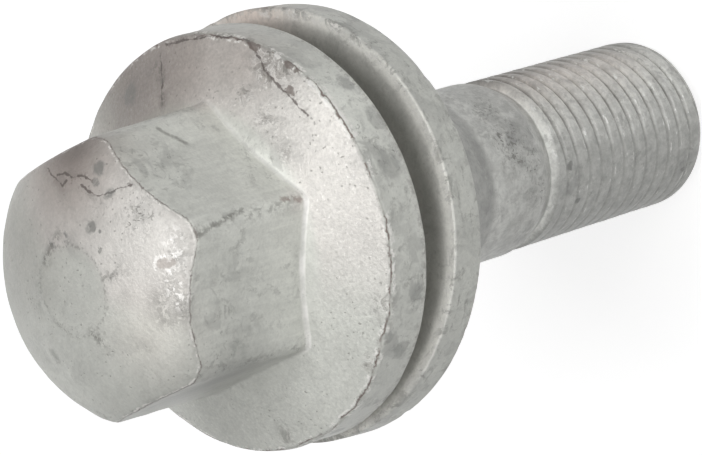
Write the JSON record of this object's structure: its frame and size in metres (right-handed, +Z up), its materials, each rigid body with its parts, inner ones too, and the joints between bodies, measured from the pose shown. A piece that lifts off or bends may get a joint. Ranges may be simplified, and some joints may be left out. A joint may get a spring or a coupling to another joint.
{
  "type": "wheel bolt",
  "caption": "Flat-seat car wheel bolt: domed hexagon head with a broad flange, a loose captive washer, a tapered neck and a threaded end.",
  "frame": {"origin": "centre of the flat face at the threaded tip, on which the bolt stands", "axes": "+Z up along the bolt's axis from the tip to the head; a corner of the hexagon points along -Y and two flats face +X and -X"},
  "size_m": [0.0284, 0.0284, 0.0568],
  "materials": {
    "coated_steel": "matt zinc-flake coat, worn and scratched",
    "washer_steel": "matt zinc-flake coat, chipped along the edge"
  },
  "bodies": {
    "bolt": {"bolt": "coated_steel"},
    "washer": {"washer": "washer_steel"}
  },
  "joints": [
    {"name": "washer_spin", "type": "hinge", "parent": "bolt", "child": "washer", "pos_m": [0, 0, 0.0367], "axis": [0, 0, 1], "continuous": true}
  ]
}
